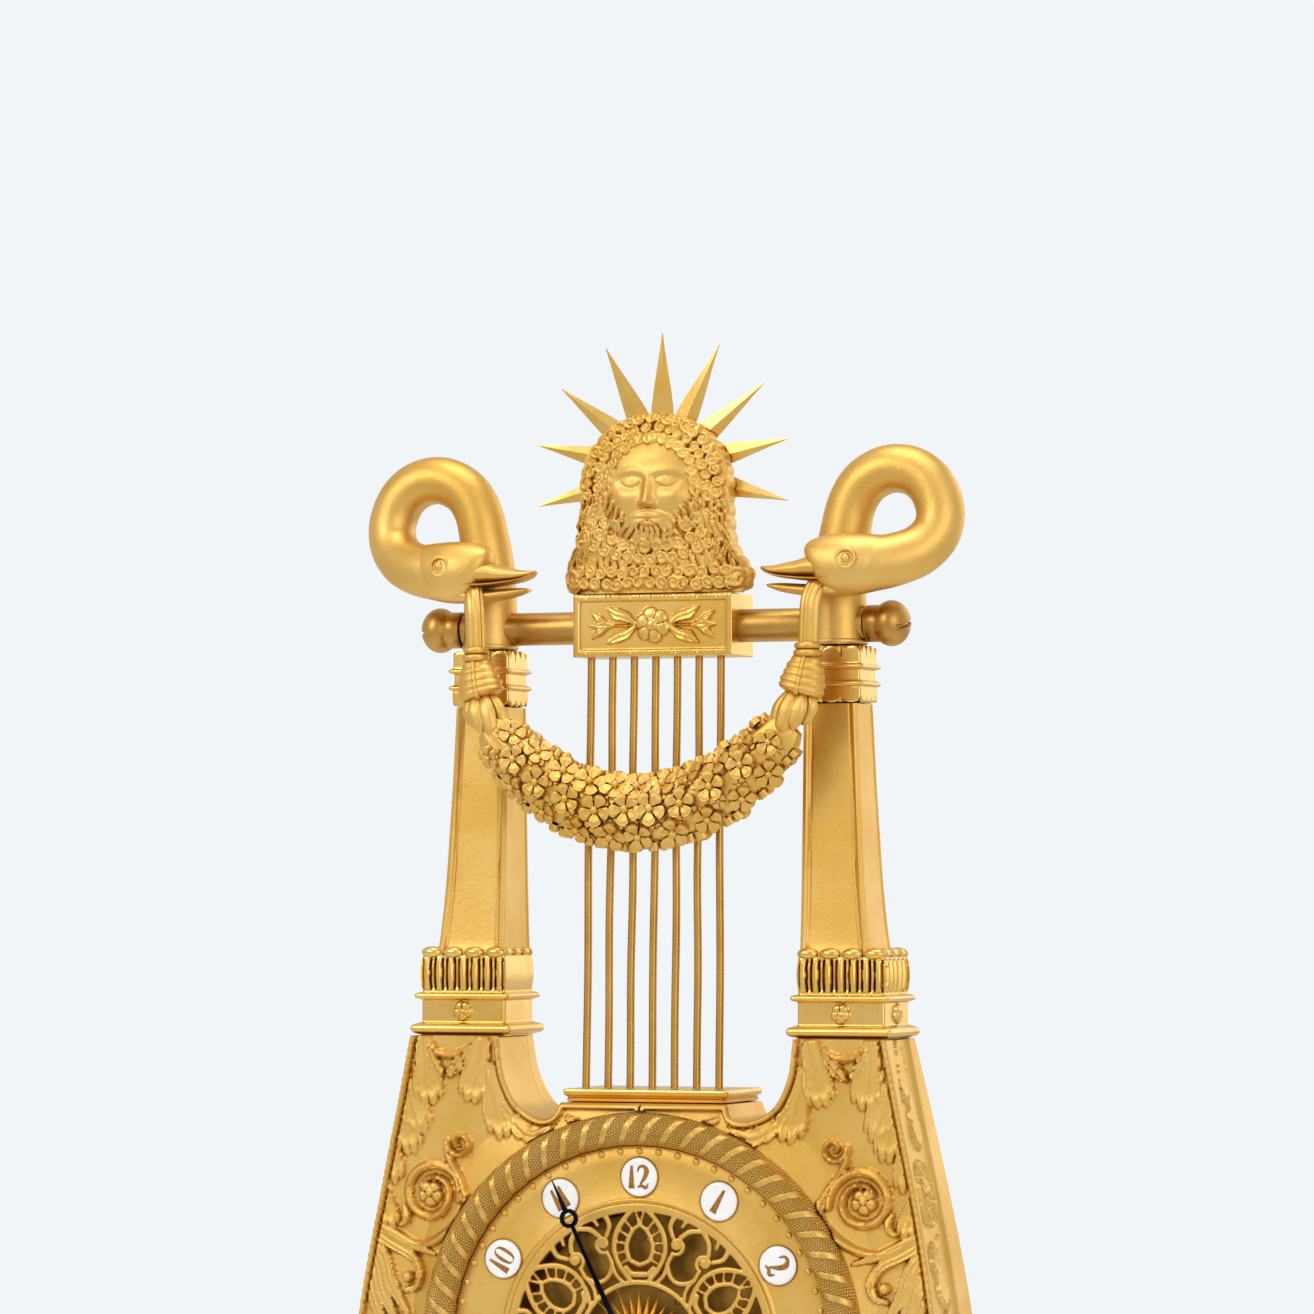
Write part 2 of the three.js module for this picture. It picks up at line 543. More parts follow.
// The body's carving on its bellied front, clear of the dial's boss and inside the outline
function makeCarving(whole) {
  const across = (share) => body.halfWidth * share;
  const at = ([w, t, ...rest]) => [across(w), bodyZ + bodyHeight * t, ...rest.map(across)];
  const { rise, leafRise, bed, rosetteRadius, petals } = carving;
  const flat = [];
  for (const { line, width, teeth } of leafTableShares) {
    flat.push(leaf(line.map(at), across(width), teeth, leafRise, bed));
  }
  for (const { line, steps } of cordTableShares) flat.push(ridge(along(line.map(at), steps), rise, bed));
  for (const { centre, outer, inner, width, start, turn, steps } of spiralTableShares) {
    const [x, z] = at(centre);
    const knots = Array.from({ length: steps + 1 }, (_, i) => {
      const angle = start + (turn * i) / steps;
      const radius = across(THREE.MathUtils.lerp(outer, inner, i / steps));
      return [x + radius * Math.cos(angle), z + radius * Math.sin(angle), across(width)];
    });
    flat.push(ridge(knots, rise, bed));
    if (inner > rosetteRadius) flat.push(rosette(x, z, rosetteRadius, petals, rise, bed));
  }
  const solids = flat.flatMap((geometry) => {
    const laid = shaped(geometry, (point) => point.setY(point.y - bodyDepthAt(point.z)));
    return [solid(laid), solid(mirrored(laid))];
  });
  const front = -body.halfDepth - rise - overrun;
  const room = solid(slab(outline(whole), front, 0));
  const dialRoom = solid(rodY(boss.radius + gap, front, 0, sides.large, 0, dialZ));
  return wasm.Manifold.union(solids).intersect(room).subtract(dialRoom);
}

function makeBody() {
  const right = widthShares.map(([t, w]) => [body.halfWidth * w, bodyZ + bodyHeight * t]);
  const cut = notchShares.map(([w, d]) => [notch.halfWidth * w, hornZ - notch.depth * d]);
  const half = [...right, ...cut];
  const whole = [...half, ...half.map(([x, z]) => [-x, z]).reverse()];
  const shell = bellied(whole, 0);
  const cavityTop = hornZ - notch.depth - body.wall;
  const inner = right
    .filter(([, z]) => z > bodyZ + body.wall && z < cavityTop)
    .map(([x, z]) => [x - body.wall, z]);
  const topInner = body.halfWidth * shareAt(widthShares, (cavityTop - bodyZ) / bodyHeight) - body.wall;
  const innerHalf = [[inner[0][0] - body.wall, bodyZ + body.wall], ...inner, [topInner, cavityTop]];
  const cavityLine = [...innerHalf, ...innerHalf.map(([x, z]) => [-x, z]).reverse()];
  const cavity = bellied(cavityLine, body.wall);
  const frontBoss = solid(rodY(boss.radius, -bossFront, 0, sides.large, 0, dialZ));
  const backBoss = solid(rodY(boss.backRadius, 0, body.halfDepth, sides.large, 0, dialZ));
  const dialHole = solid(rodY(dialOpenRadius, -bossFront - overrun, 0, sides.large, 0, dialZ));
  const rearHole = solid(rodY(rearHoleRadius, 0, body.halfDepth + overrun, sides.large, 0, dialZ));
  const carved = shell.add(makeCarving(whole)).add(frontBoss).add(backBoss);
  return carved.subtract(cavity).subtract(dialHole).subtract(rearHole);
}

// Arm base from its underside up: shares of its height, of the mouldings' overhang, and of the outer taper
const armBaseShares = [
  [0, 1, 0], [0.04, 0, 0], [0.1, 0, 0], [0.145, 1, 0.05], [0.33, 1, 0.1], [0.375, 0, 0.3],
  [0.435, 0, 0.3], [0.48, 0.6, 0.8], [0.5, 0.2, 1],
];

// Arms, one side at a time
function makeArm(side, name) {
  const group = new THREE.Group();
  const a = armBase;
  const eggZ = a.height - egg.height;
  const at = (z, out, tapered) => [
    armBaseZ + z,
    a.inner + a.overhang * out,
    a.outer - a.overhang * out - a.taper * tapered,
    a.halfDepth - a.overhang * out,
  ];
  const profile = armBaseShares.map(([t, out, tapered]) => at(a.height * t, out, tapered));
  const bandTop = at(eggZ, ...armBaseShares.at(-1).slice(1));
  let foundation = solid(sided(column([...profile, bandTop]), side));
  const [, bandInner, bandOuter, bandDepth] = bandTop;
  const eggPitch = (bandOuter - bandInner) / egg.count;
  for (let i = 0; i < egg.count; i++) {
    const bead = new THREE.SphereGeometry(egg.radius, sides.string, sides.string / 2);
    bead.translate(bandInner + eggPitch * (i + 0.5), egg.radius - bandDepth, armBaseZ + eggZ);
    foundation = foundation.add(solid(sided(bead, side)));
  }
  const seatLow = [shaft.inner - gap, -shaft.halfDepth - gap, armBaseZ + eggZ];
  const seatHigh = [shaft.outer + gap, shaft.halfDepth + gap, armBaseZ + a.height + egg.radius];
  foundation = foundation.subtract(solid(sided(block3(seatLow, seatHigh), side)));
  group.add(piece("arm_base_" + name, foundation, finish.burnished));

  const s = shaft;
  const flareShares = [[0, 1], [0.12, 0.78], [0.3, 0.54], [0.48, 0.38], [0.7, 0.2], [1, 0]];
  const shaftLevels = flareShares.map(([t, flare]) => [
    shaftZ + s.height * t,
    s.inner,
    s.topOuter + (s.outer - s.topOuter) * flare,
    s.topHalfDepth + (s.halfDepth - s.topHalfDepth) * flare,
  ]);
  const stemFoot = [shaftZ - egg.height, s.inner, s.outer, s.halfDepth];
  const stem = solid(sided(column([stemFoot, ...shaftLevels]), side));
  group.add(piece("arm_shaft_" + name, stem, finish.matte));

  const c = collar;
  const ring = (h, out) => [collarZ + h, c.inner - out, c.outer + out, c.halfDepth + out];
  const beadLevels = (h) => [
    ring(h - c.beadHeight / 2, 0), ring(h - c.beadHeight / 4, c.bead), ring(h + c.beadHeight / 4, c.bead),
    ring(h + c.beadHeight / 2, 0),
  ];
  const collarLevels = [
    ring(0, 0), ...beadLevels(c.height * 0.33), ...beadLevels(c.height * 0.67), ring(c.height, c.bead / 2),
  ];
  group.add(piece("collar_" + name, solid(sided(column(collarLevels), side)), finish.burnished));
  return group;
}

// A swan: neck and loop as one tube, head and beak as another, joined. grow thickens both for a clearance.
function makeSwan(side, grow = 0) {
  const w = swan;
  const loopZ = neckZ + w.loopRise;
  const halfWidth = w.holeHalfWidth + w.radius;
  const halfHeight = w.holeHalfHeight + w.radius;
  const onLoop = (degrees, y, r) => {
    const angle = THREE.MathUtils.degToRad(degrees);
    return [w.loopX + halfWidth * Math.cos(angle), y, loopZ + halfHeight * Math.sin(angle), r + grow];
  };
  const neckKnots = [
    [w.neckX, 0, neckZ, w.radius + grow],
    [w.neckX, 0, neckZ + w.loopRise * 0.3, w.radius + grow],
    [w.neckX, 0, neckZ + w.loopRise * 0.66, w.radius + grow],
    onLoop(165, 0, w.radius), onLoop(125, 0, w.radius), onLoop(90, 0, w.radius), onLoop(50, 0, w.radius),
    onLoop(15, -w.forward * 0.05, w.radius), onLoop(-20, -w.forward * 0.18, w.radius),
    onLoop(-58, -w.forward * 0.4, w.radius), onLoop(-90, -w.forward * 0.68, w.radius),
  ];
  const headZ = loopZ - w.headDrop;
  const beakZ = loopZ - w.beakDrop;
  const headKnots = [
    onLoop(-72, -w.forward * 0.5, w.radius * 0.9),
    onLoop(-92, -w.forward * 0.72, w.radius),
    [w.headX + w.radius * 0.5, -w.forward * 0.92, headZ + gap, w.headRadius + grow],
    [w.headX - w.radius * 0.4, -w.forward, headZ, w.headRadius * 0.98 + grow],
    [w.headX - w.radius * 1.2, -w.forward, headZ, w.headRadius * 0.8 + grow],
    [w.headX - w.radius * 1.9, -w.forward, headZ, w.headRadius * 0.58 + grow],
    [w.beakX + w.radius, -w.forward, headZ, w.headRadius * 0.36 + grow],
    [w.beakX, -w.forward, beakZ, w.beakRadius + grow],
  ];
  const neck = solid(sided(sweep(neckKnots, 12, 22), side));
  const head = solid(sided(sweep(headKnots, 10, 8), side));
  const footing = turnedZ(
    [[0, neckZ], [w.footRadius, neckZ], [w.footRadius, neckZ + w.footHeight], [0, neckZ + w.footHeight]],
    sides.medium,
  ).translate(w.neckX, 0, 0);
  return neck.add(head).add(solid(sided(footing, side)));
}

// The cross bar lies along X through the necks and the plaque
function makeBarPieces() {
  const group = new THREE.Group();
  const threadEnd = knobTip - knob.ballRadius;
  const barProfile = [
    [0, -threadEnd], [bar.threadRadius, -threadEnd], [bar.threadRadius, -barEnd], [bar.radius, -barEnd],
    [bar.radius, barEnd], [bar.threadRadius, barEnd], [bar.threadRadius, threadEnd], [0, threadEnd],
  ];
  group.add(piece("cross_bar", solid(turnedX(barProfile, sides.medium).translate(0, 0, barZ)), finish.dark));
  const inner = barEnd + gap;
  const ballX = knobTip - knob.ballRadius;
  const bore = bar.threadRadius + running;
  const knobProfile = [[bore, inner], [knob.stemRadius, inner], [knob.stemRadius, inner + knob.stemLength]];
  const start = Math.acos(Math.min(1, (ballX - inner - knob.stemLength) / knob.ballRadius));
  for (let i = 0; i <= knob.steps; i++) {
    const angle = Math.PI - start + ((start - Math.PI) * i) / knob.steps;
    knobProfile.push([knob.ballRadius * Math.sin(angle), ballX + knob.ballRadius * Math.cos(angle)]);
  }
  knobProfile[knobProfile.length - 1][0] = 0;
  knobProfile.push([0, threadEnd + running], [bore, threadEnd + running], [bore, inner]);
  for (const [side, name] of [[1, "right"], [-1, "left"]]) {
    const turning = sided(turnedX(knobProfile, sides.medium).translate(0, 0, barZ), side);
    group.add(piece("bar_knob_" + name, solid(turning), finish.burnished));
  }
  return group;
}

function makePlaque() {
  const p = plaque;
  const low = [-p.halfWidth, -p.halfDepth, plaqueZ];
  const high = [p.halfWidth, p.halfDepth, plaqueZ + p.height];
  const core = solid(block3(low, high));
  const panel = solid(
    block3(
      [-p.halfWidth + p.rimWidth, -p.halfDepth - overrun, plaqueZ + p.rimWidth],
      [p.halfWidth - p.rimWidth, -p.halfDepth + p.rim, plaqueZ + p.height - p.rimWidth],
    ),
  );
  const bore = turnedX(
    [[0, -p.halfWidth - overrun], [bar.radius + gap, -p.halfWidth - overrun],
      [bar.radius + gap, p.halfWidth + overrun], [0, p.halfWidth + overrun]],
    sides.medium,
  ).translate(0, 0, barZ);
  return core.subtract(panel).subtract(solid(bore));
}

// The mask: a plain bearded head in half round with a flat back, sunk below the plaque's top and cut level
function makeMask() {
  const m = mask;
  const halfHeight = (m.height + m.sunk) / 2;
  const centreZ = maskZ + m.height - halfHeight;
  const head = shaped(new THREE.SphereGeometry(1, 20, 16).rotateX(Math.PI / 2), (point) => {
    const up = THREE.MathUtils.clamp(point.z, -1, 1);
    const hem = THREE.MathUtils.smoothstep(-up, 0.1, 0.9);
    const halfWidth = m.halfWidth + (m.hemHalfWidth - m.halfWidth) * hem;
    const round = Math.sqrt(Math.max(0, 1 - up * up));
    const full = round > 0 ? Math.pow(round, up < 0 ? -0.8 : -0.25) : 1;
    const forward = Math.max(0, -point.y) * Math.pow(full, 0.5) * (m.front - m.back);
    point.set(point.x * full * halfWidth, -m.back - forward, centreZ + up * halfHeight);
  });
  const underLow = [-m.hemHalfWidth, -m.front, maskZ - 2 * m.sunk];
  const under = solid(block3(underLow, [m.hemHalfWidth, m.front, maskZ]));
  const ridge = shaped(new THREE.ConeGeometry(1, 1, 6), (point) => {
    const y = point.z * nose.standing - m.front + nose.bedded;
    point.set(point.x * nose.halfWidth, y, maskZ + nose.rise + point.y * nose.height);
  });
  return solid(head).add(solid(ridge)).subtract(under);
}

// Rays: a hub behind the mask with ridge-roofed points fanned over it
function makeRays() {
  const r = rays;
  const centreZ = maskZ + r.centreRise;
  const from = gap - mask.back;
  const to = from + r.thickness;
  const root = r.hub * 0.7;
  let crown = solid(rodY(r.hub, from, to, sides.medium, 0, centreZ));
  for (let i = 0; i < r.count; i++) {
    const angle = (i - (r.count - 1) / 2) * raySpread;
    const ray = shaped(new THREE.ConeGeometry(1, 1, 4, 1).rotateY(Math.PI / 4), (point) => {
      const tip = point.y > 0;
      const out = tip ? r.reach : root;
      const across = tip ? 0 : Math.sign(Math.round(point.x * 2)) * r.rootHalfWidth;
      const depth = tip ? (from + to) / 2 : point.z > 0 ? to : from;
      const x = across * Math.cos(angle) + out * Math.sin(angle);
      point.set(x, depth, centreZ + out * Math.cos(angle) - across * Math.sin(angle));
    });
    crown = crown.add(solid(ray));
  }
  return crown;
}

// Ledge and strings
function makeStrings() {
  const group = new THREE.Group();
  const l = ledge;
  const levels = [
    [ledgeZ, -l.halfWidth + l.lip, l.halfWidth - l.lip, l.halfDepth - l.lip],
    [ledgeZ + l.height - l.lipHeight, -l.halfWidth + l.lip, l.halfWidth - l.lip, l.halfDepth - l.lip],
    [ledgeZ + l.height - l.lipHeight, -l.halfWidth, l.halfWidth, l.halfDepth],
    [ledgeZ + l.height, -l.halfWidth, l.halfWidth, l.halfDepth],
  ];
  group.add(piece("string_ledge", solid(column(levels)), finish.burnished));
  const low = ledgeZ + l.height + gap;
  const high = plaqueZ - gap;
  for (let i = 0; i < strings.count; i++) {
    const place = i - (strings.count - 1) / 2;
    const bare = new THREE.CylinderGeometry(strings.radius, strings.radius, 1, sides.string);
    const string = shaped(bare, (point) => {
      const top = point.y > 0;
      const x = place * (top ? strings.topPitch : strings.pitch);
      const y = top ? -strings.topFront : -strings.front;
      point.set(x + point.x, y + point.z, top ? high : low);
    });
    group.add(piece("string_" + (i + 1), solid(string), finish.dark));
  }
  return group;
}

// Garland: a crescent between the hangers' ends. grow thickens it for a clearance.
function makeGarland(grow = 0) {
  const g = garland;
  const knots = [];
  const shares = [-1, -0.9, -0.72, -0.5, -0.25, 0, 0.25, 0.5, 0.72, 0.9, 1];
  for (const t of shares) {
    const sag = 1 - Math.pow(Math.abs(t), 2.6);
    const z = neckZ - g.endDrop - (g.lowDrop - g.endDrop) * sag;
    const radius = g.endRadius + (g.midRadius - g.endRadius) * Math.sqrt(Math.max(0, sag));
    knots.push([garlandEndX * t, -garlandFront, z + Math.abs(t) * grow, radius + grow]);
  }
  return solid(sweep(knots, 12, 26, g.depthShare));
}

// Hanger: a strap out of the beak, a knot, a calyx and a leaf cuff
function makeHanger(side, neighbours) {
  const h = hanger;
  const top = neckZ + swan.loopRise - swan.headDrop;
  const knotZ = neckZ - h.knotDrop;
  const endZ = neckZ - garland.endDrop;
  const lean = (z) => garlandEndX + h.lean * THREE.MathUtils.smoothstep(z, endZ, knotZ);
  const row = (z, halfWidth, halfDepth) => [z, lean(z) - halfWidth, lean(z) + halfWidth, halfDepth];
  const calyxZ = (share) => knotZ + (endZ - knotZ) * share;
  const strapRow = (z) => row(z, strap.width / 2, strap.thickness / 2);
  const band = column([strapRow(knotZ), strapRow(top)]).translate(0, -hangerFront, 0);
  let hung = solid(sided(band, side));
  const bead = new THREE.SphereGeometry(h.knotRadius, 8, 6).translate(lean(knotZ), -hangerFront, knotZ);
  hung = hung.add(solid(sided(bead, side)));
  const calyxShares = [[0, 0.5], [0.14, 0.72], [0.34, 1], [0.5, 0.9], [0.6, 0.66], [0.78, 0.95], [1, 0.86]];
  const calyxKnots = calyxShares.map(([t, r]) => {
    return [lean(calyxZ(t)), -hangerFront, calyxZ(t), h.calyxRadius * r];
  });
  hung = hung.add(solid(sided(sweep(calyxKnots, 8, 9), side)));
  return neighbours.reduce((left, neighbour) => left.subtract(neighbour), hung);
}

// Dial plate with its pierced centre, raised cartouches and feet; bezel round it
function makeDial() {
  const front = -dialFront;
  const back = front + dial.thickness;
  const arcPoint = (radius, angle) => [radius * Math.sin(angle), radius * Math.cos(angle)];
  let disc = solid(rodY(dialRadius, front, back, sides.large));
  for (let i = 0; i < pierced.windows; i++) {
    const middle = (i * 2 * Math.PI) / pierced.windows;
    const arc = (radius) =>
      Array.from({ length: pierced.windowSteps + 1 }, (_, k) => {
        return arcPoint(radius, middle + (k / pierced.windowSteps - 0.5) * pierced.windowAngle);
      });
    const points = [...arc(pierced.outer), ...arc(pierced.inner).reverse()];
    disc = disc.subtract(solid(slab(outline(points), front - overrun, back + overrun)));
  }
  for (const side of [-1, 1]) {
    const at = [side * barrelAt.x, barrelAt.z];
    disc = disc.add(solid(rodY(keyHole.radius + keyHole.collar, front, back, sides.medium, ...at)));
    disc = disc.subtract(solid(rodY(keyHole.radius, front - overrun, back + overrun, sides.medium, ...at)));
  }
  disc = disc.subtract(solid(rodY(dial.pipeHoleRadius, front - overrun, back + overrun, sides.medium)));
  for (let i = 0; i < cartouche.count; i++) {
    const at = arcPoint(cartouche.ringRadius, (i * 2 * Math.PI) / cartouche.count);
    const [low, high] = [front - cartouche.rise, front + cartouche.rise / 2];
    disc = disc.add(solid(rodY(cartouche.radius, low, high, cartouche.sides, ...at)));
  }
  for (const spoke of dialFoot.spokes) {
    const at = arcPoint(plate.radius - dialFoot.inset, ((spoke + 0.5) * 2 * Math.PI) / pierced.windows);
    const footFrom = front + dial.thickness / 2;
    disc = disc.add(solid(rodY(dialFoot.radius, footFrom, plate.front - gap, sides.small, ...at)));
  }
  return disc;
}

function makeBezel() {
  const outer = boss.radius;
  const middle = (bezel.inner + outer) / 2;
  const half = (outer - bezel.inner) / 2;
  const seat = -bossFront - gap;
  const profile = [[bezel.inner, seat]];
  for (let i = 0; i <= bezel.steps; i++) {
    const angle = Math.PI - (i * Math.PI) / bezel.steps;
    const y = seat - bezel.seat - (bezel.height - gap) * Math.sin(angle);
    profile.push([middle + half * Math.cos(angle), y]);
  }
  profile.push([outer, seat], [bezel.inner, seat]);
  return solid(turned(profile, sides.large));
}

// A hand with an open moon, drawn pointing up, then turned clockwise by an angle
function makeHand(h, bore, angle) {
  const moonInner = new THREE.Path().absarc(0, h.moonAt, h.moonHole, 0, 2 * Math.PI);
  const moon = new THREE.Shape().absarc(0, h.moonAt, h.moonRadius, 0, 2 * Math.PI);
  moon.holes.push(moonInner);
  const hub = new THREE.Shape().absarc(0, 0, h.hubRadius, 0, 2 * Math.PI);
  hub.holes.push(new THREE.Path().absarc(0, 0, bore, 0, 2 * Math.PI));
  const inside = (h.hubRadius + bore) / 2;
  const moonEdge = (h.moonRadius + h.moonHole) / 2;
  const neck = h.moonAt - moonEdge;
  const shank = outline([
    [-h.width / 2, inside], [h.width / 2, inside], [h.width / 3, neck], [-h.width / 3, neck],
  ]);
  const point = outline([
    [-h.width / 2, h.moonAt + moonEdge], [h.width / 2, h.moonAt + moonEdge], [0, h.reach],
  ]);
  const tail = outline([
    [-h.width / 2, -inside], [-h.width * 0.8, -h.tail], [h.width * 0.8, -h.tail], [h.width / 2, -inside],
  ]);
  return [hub, moon, shank, point, tail]
    .map((shape) => solid(slab(shape, -h.front, -h.front + h.thickness).rotateY(angle)))
    .reduce((sum, part) => sum.add(part));
}

// The middle arbor stands where its pinion meets the barrel and its wheel meets the centre pinion
const midAt = (() => {
  const toBarrel = pitchRadius(barrelTeeth + greatPinion, greatModule);
  const toCentre = pitchRadius(midTeeth + greatPinion, greatModule);
  const apart = Math.hypot(barrelAt.x, barrelAt.z);
  const along = (toBarrel ** 2 - toCentre ** 2 + apart ** 2) / (2 * apart);
  const off = Math.sqrt(toBarrel ** 2 - along ** 2);
  const [ux, uz] = [-barrelAt.x / apart, -barrelAt.z / apart];
  return { x: barrelAt.x + along * ux + off * uz, z: barrelAt.z + along * uz - off * ux };
})();

// A plate: round, pierced by holes given as [x, z, radius]
function makePlate(from, holes) {
  let disc = solid(rodY(plate.radius, from, from + plate.thickness, sides.large));
  for (const [x, z, radius] of holes) {
    const count = radius > winder.radius ? sides.small : sides.pivot;
    disc = disc.subtract(solid(rodY(radius, from - overrun, from + plate.thickness + overrun, count, x, z)));
  }
  return disc;
}

const minuteWheelZ = -pitchRadius(motion.cannon + motion.wheel, motion.module);
const frontInside = plate.front + plate.thickness;
const pivotHole = arbor.pivotRadius + running;
const arborHole = arbor.radius + running;
const winderHoles = [-1, 1].map((side) => [side * barrelAt.x, barrelAt.z, winder.radius + running]);
const sharedHoles = [
  [midAt.x, midAt.z, pivotHole], [-midAt.x, midAt.z, pivotHole], [thirdAt.x, thirdAt.z, pivotHole],
  [escapeAt.x, escapeAt.z, pivotHole], ...winderHoles,
];

function makeFrontPlate() {
  const own = [
    [0, 0, arborHole], [0, minuteWheelZ, pivotHole], [palletAt.x, palletAt.z, pivotHole],
    [hammerAt.x, hammerAt.z, pivotHole],
  ];
  let disc = makePlate(plate.front, [...sharedHoles, ...own]);
  for (const angle of pillar.angles) {
    const ring = plate.radius - pillar.inset;
    const at = [ring * Math.cos(angle), ring * Math.sin(angle)];
    const from = plate.front + plate.thickness / 2;
    disc = disc.add(solid(rodY(pillar.radius, from, plate.back - gap, sides.small, ...at)));
  }
  return disc;
}

function makeBackPlate() {
  const own = [
    [0, 0, pivotHole],
    [palletAt.x, palletAt.z, arborHole],
    [hammerAt.x, hammerAt.z, arborHole],
  ];
  return makePlate(plate.back, [...sharedHoles, ...own]);
}

// An arbor between the plates, with a thin pivot in each
function makeArbor(x, z, from = frontInside + gap, to = plate.back - gap) {
  const core = rodY(arbor.radius, from, to, sides.small, x, z);
  const pivotEnd = plate.back + plate.thickness - gap;
  const pivots = rodY(arbor.pivotRadius, plate.front + gap, pivotEnd, sides.pivot, x, z);
  return solid(core).add(solid(pivots));
}

function wheelAt(shape, from, thickness, x, z) {
  return solid(slab(shape, from, from + thickness).translate(x, 0, z));
}

// Front faces of the wheels, as depths
const level = {
  great: barrel.front + barrel.height - wheelThickness,
  mid: lay.mid,
  centre: lay.centre,
  third: frontInside + lay.thirdBehind,
  escape: lay.escape,
  cannon: plate.front - lay.cannonBefore,
  hour: plate.front - lay.hourBefore,
};

function makeBarrel(side) {
  const at = [side * barrelAt.x, barrelAt.z];
  const b = barrel;
  const back = b.front + b.height;
  const drumBody = solid(rodY(b.radius, b.front, back, sides.medium, ...at));
  const teeth = wheelAt(toothed(barrelTeeth, greatModule), level.great, wheelThickness, ...at);
  const bore = rodY(b.hubRadius, b.front - overrun, back + overrun, sides.small, ...at);
  return drumBody.add(teeth).subtract(solid(bore));
}

function makeWinder(side) {
  const [x, z] = [side * barrelAt.x, barrelAt.z];
  const w = winder;
  const front = -dialFront + dial.thickness + gap;
  const squareBack = front + w.squareLength;
  const low = [x - w.squareHalf, front, z - w.squareHalf];
  const square = block3(low, [x + w.squareHalf, squareBack + gap, z + w.squareHalf]);
  const round = rodY(w.radius, squareBack, plate.back + plate.thickness - gap, sides.small, x, z);
  return solid(square).add(solid(round));
}

function makeTrain() {
  const group = new THREE.Group();
  const add = (name, shape, material) => group.add(piece(name, shape, material));
  add("front_plate", makeFrontPlate(), finish.brass);
  add("back_plate", makeBackPlate(), finish.brass);
  add("going_barrel", makeBarrel(-1), finish.brass);
  add("strike_barrel", makeBarrel(1), finish.brass);
  add("winding_arbor_going", makeWinder(-1), finish.bright);
  add("winding_arbor_strike", makeWinder(1), finish.bright);

  const greatPinionFrom = level.great - gap;
  const pinionStar = (teeth, module) => toothed(teeth, module, pinionDepthShare);
  const middle = (x, teeth) => {
    return makeArbor(x, midAt.z)
      .add(wheelAt(pinionStar(greatPinion, greatModule), greatPinionFrom, pinionLength, x, midAt.z))
      .add(wheelAt(toothed(teeth, greatModule), level.mid, wheelThickness, x, midAt.z));
  };
  add("intermediate_wheel", middle(-Math.abs(midAt.x), midTeeth), finish.brass);
  add("strike_pin_wheel", middle(Math.abs(midAt.x), pinWheelTeeth), finish.brass);

  const handEnd = -minuteHand.front - cap.height / 2;
  const pivotEnd = plate.back + plate.thickness - gap;
  const thin = wheelThickness / 1.5;
  const centre = solid(rodY(arbor.radius, handEnd, plate.back - gap, sides.small))
    .add(solid(rodY(arbor.pivotRadius, handEnd, pivotEnd, sides.pivot)))
    .add(wheelAt(pinionStar(greatPinion, greatModule), level.mid - gap, pinionLength / 2 + gap, 0, 0))
    .add(wheelAt(toothed(centreTeeth, centreModule), level.centre, thin, 0, 0))
    .add(wheelAt(pinionStar(motion.cannon, motion.module), level.cannon, wheelThickness, 0, 0));
  add("centre_arbor", centre, finish.brass);

  const atThird = [thirdAt.x, thirdAt.z];
  const third = makeArbor(...atThird)
    .add(wheelAt(pinionStar(thirdPinion, centreModule), level.centre - gap, wheelThickness, ...atThird))
    .add(wheelAt(toothed(thirdTeeth, thirdModule), level.third, wheelThickness, ...atThird));
  add("third_wheel", third, finish.brass);

  const atEscape = [escapeAt.x, escapeAt.z];
  const ratchet = toothed(escapeTeeth, escapeModule, escapeDepthShare);
  const escape = makeArbor(...atEscape)
    .add(wheelAt(pinionStar(escapePinion, thirdModule), level.third - gap, pinionLength, ...atEscape))
    .add(wheelAt(ratchet, level.escape, wheelThickness, ...atEscape));
  add("escape_wheel", escape, finish.brass);

  add("pallet_anchor", makePallets(), finish.bright);
  add("minute_wheel", makeMinuteWheel(), finish.brass);
  add("hour_wheel", makeHourWheel(), finish.brass);
  return group;
}

// Anchor over the escape wheel on its arbor, with the crutch behind the back plate
function makePallets() {
  const p = pallets;
  const inner = escapeRadius + p.clear;
  const outer = inner + p.width;
  const arc = (radius) =>
    Array.from({ length: p.steps + 1 }, (_, i) => {
      const angle = (i / p.steps - 0.5) * 2 * p.halfSpan;
      return [radius * Math.sin(angle), radius * Math.cos(angle)];
    });
  const bow = outline([...arc(outer), ...arc(inner).reverse()]);
  const anchor = wheelAt(bow, level.escape, wheelThickness, escapeAt.x, escapeAt.z);
  const at = [palletAt.x, palletAt.z];
  const crutchFront = plate.back + plate.thickness + crutch.behind;
  const crutchBack = crutchFront + crutch.thickness;
  const low = palletAt.z - crutch.length;
  const forkHalf = pendulum.rodRadius + running + 2 * crutch.pinRadius;
  const shapes = [
    rodY(p.hubRadius, level.escape, level.escape + wheelThickness, sides.small, ...at),
    rodY(arbor.radius, frontInside + gap, crutchBack, sides.small, ...at),
    rodY(arbor.pivotRadius, plate.front + gap, frontInside + overrun, sides.pivot, ...at),
    block3([-crutch.halfWidth, crutchFront, low], [crutch.halfWidth, crutchBack, palletAt.z]),
    block3([-forkHalf, crutchFront, low], [forkHalf, crutchBack, low + 2 * crutch.pinRadius]),
  ];
  let made = shapes.reduce((sum, shape) => sum.add(solid(shape)), anchor);
  for (const side of [-1, 1]) {
    const x = side * (pendulum.rodRadius + running + crutch.pinRadius);
    const pinEnd = pendulum.depth + pendulum.rodRadius;
    const pin = rodY(crutch.pinRadius, crutchFront, pinEnd, sides.pivot, x, low + crutch.pinRadius);
    made = made.add(solid(pin));
  }
  return made;
}

